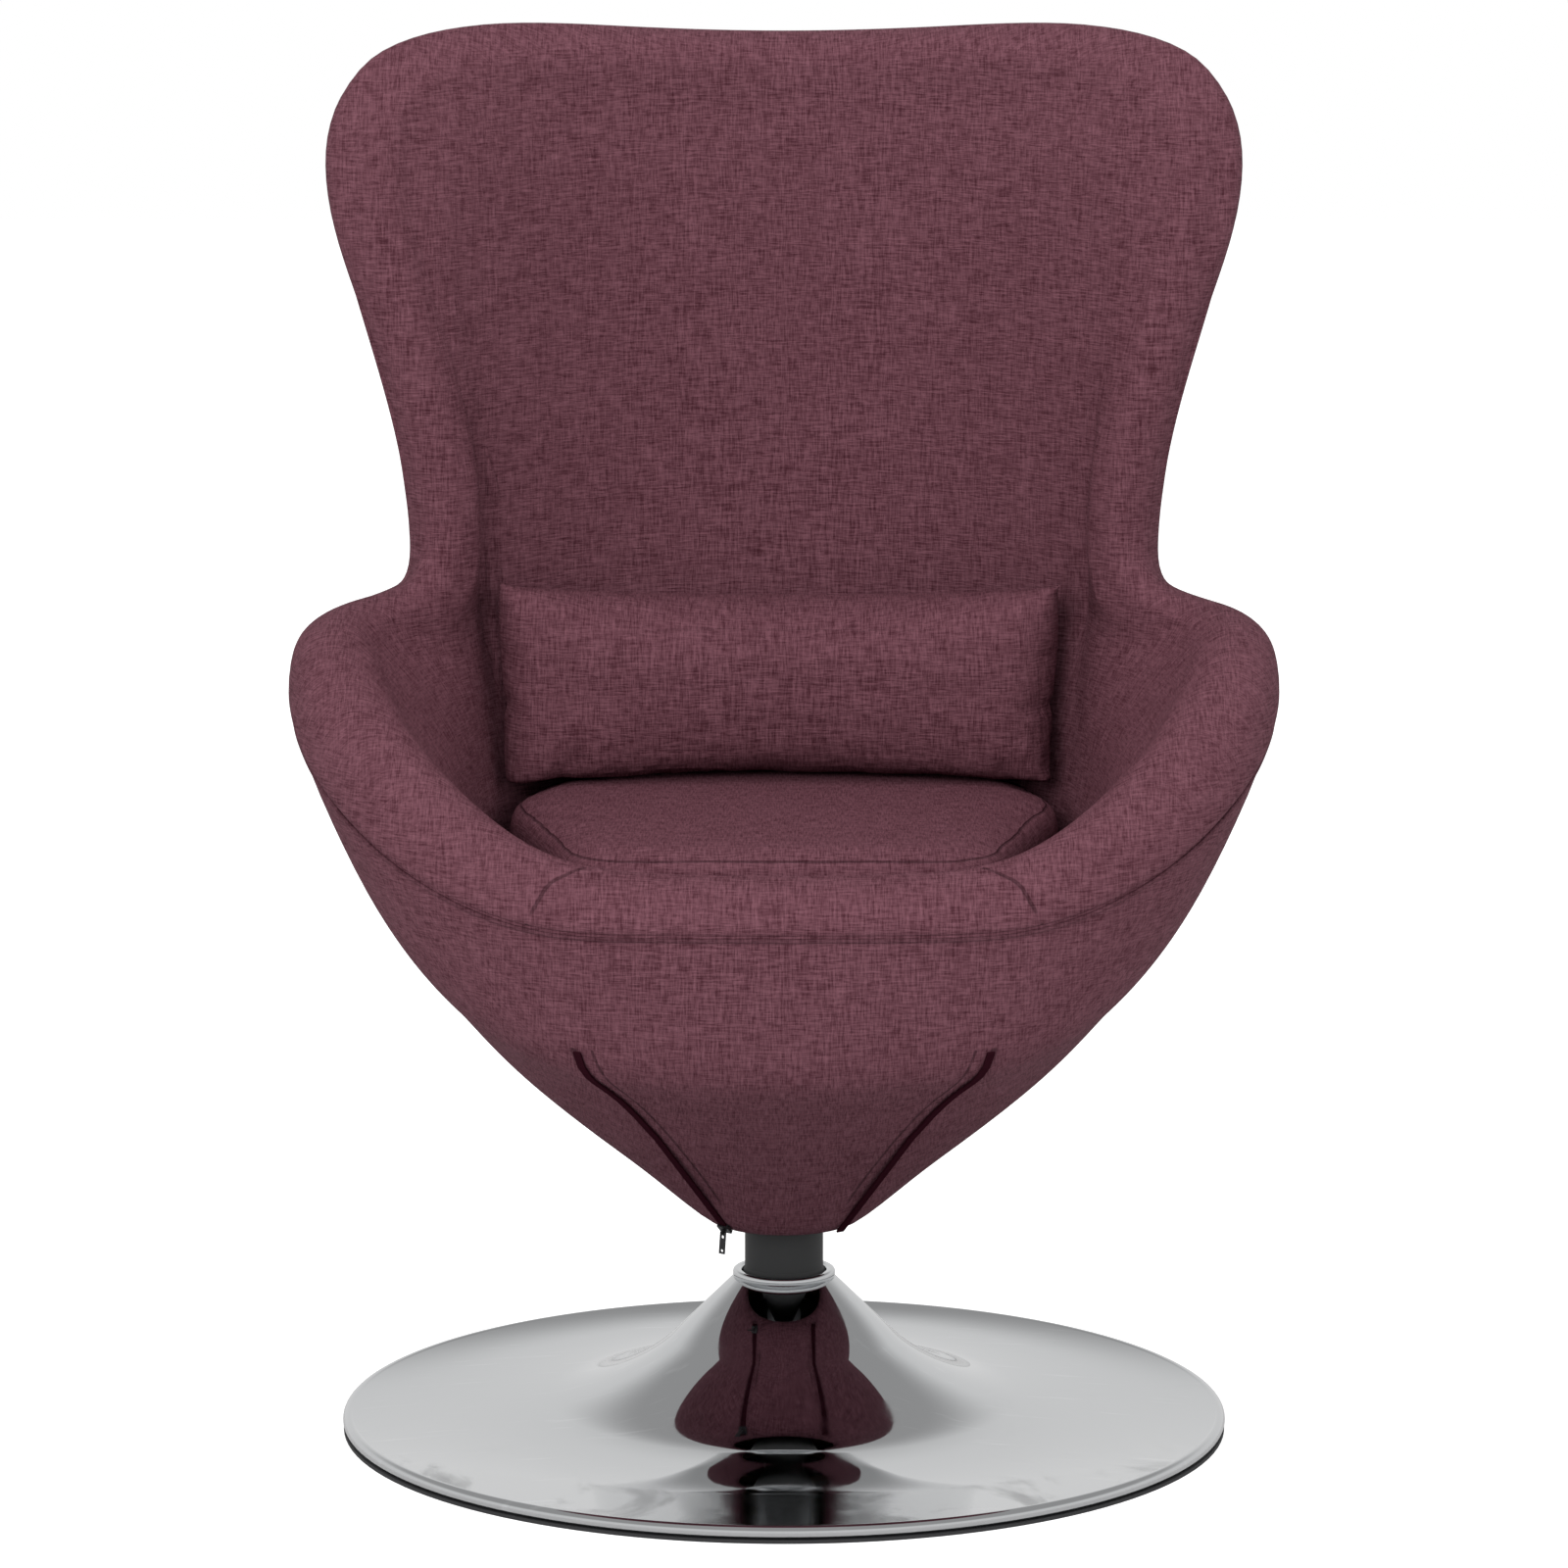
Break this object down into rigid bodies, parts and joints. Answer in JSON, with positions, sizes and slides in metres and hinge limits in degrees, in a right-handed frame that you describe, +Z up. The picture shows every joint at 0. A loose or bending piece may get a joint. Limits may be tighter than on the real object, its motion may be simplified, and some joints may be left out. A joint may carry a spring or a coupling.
{
  "type": "swivel pod chair",
  "caption": "Winged pod armchair with a padded shell, loose seat cushion and lumbar pillow, turning on a chromed trumpet base.",
  "frame": {"origin": "on the column axis at floor level, under the middle of the base", "axes": "+Z up, -Y towards the sitter's feet, +X to the right in a view from the front"},
  "size_m": [0.7692, 0.7, 1.0949],
  "materials": {
    "chrome": "polished",
    "black_plastic": "fine satin grain",
    "cast_iron": "painted black",
    "steel": "turned",
    "white_plastic": "moulded",
    "spring_steel": "oiled black",
    "black_steel": "powder coated",
    "zinc_steel": "zinc plated",
    "plywood": "raw birch",
    "shell_fabric": "melange weave over foam",
    "cover_fabric": "melange weave over felt",
    "cushion_fabric": "melange weave over foam",
    "pillow_fabric": "melange weave over fibre",
    "zip_teeth": "nylon coil",
    "zip_metal": "black lacquer"
  },
  "bodies": {
    "base": {"base_disc": "chrome", "floor_ring": "black_plastic", "collar_ring": "chrome", "ballast_plate": "cast_iron", "column_tube": "steel", "lower_bush": "white_plastic", "upper_bush": "white_plastic", "thrust_washer": "white_plastic"},
    "seat": {"spindle": "steel", "circlip": "spring_steel", "column_sleeve": "black_plastic", "seat_plate": "black_steel", "plate_bolts": "zinc_steel", "plate_washers": "zinc_steel", "tee_nuts": "zinc_steel", "cross_rails": "black_steel", "seat_ring": "black_steel", "frame_ribs": "black_steel", "back_rails": "black_steel", "rim_bar": "black_steel", "seat_board": "plywood", "inner_pad": "shell_fabric", "outer_cover": "cover_fabric", "zip_chain_left": "zip_teeth", "zip_chain_right": "zip_teeth"},
    "cushion": {"seat_cushion": "cushion_fabric"},
    "pillow": {"lumbar_pillow": "pillow_fabric"},
    "slider": {"zip_slider": "zip_metal"},
    "pull": {"zip_pull": "zip_metal"}
  },
  "joints": [
    {"name": "swivel", "type": "hinge", "parent": "base", "child": "seat", "pos_m": [0, 0, 0.29], "axis": [0, 0, 1], "continuous": true},
    {"name": "cushion_lift", "type": "slide", "parent": "seat", "child": "cushion", "axis": [0, 0, 1], "range_m": [0, 0.2]},
    {"name": "pillow_lift", "type": "slide", "parent": "cushion", "child": "pillow", "axis": [0, -0.7071, 0.7071], "range_m": [0, 0.2]},
    {"name": "zip_travel", "type": "slide", "parent": "seat", "child": "slider", "axis": [-0.307, -0.7409, 0.5974], "range_m": [0, 0.15]},
    {"name": "pull_swing", "type": "hinge", "parent": "slider", "child": "pull", "pos_m": [-0.0477, -0.04985, 0.16524], "axis": [-0.9011, 0.4282, 0.0679], "range_deg": [-25, 100]}
  ]
}
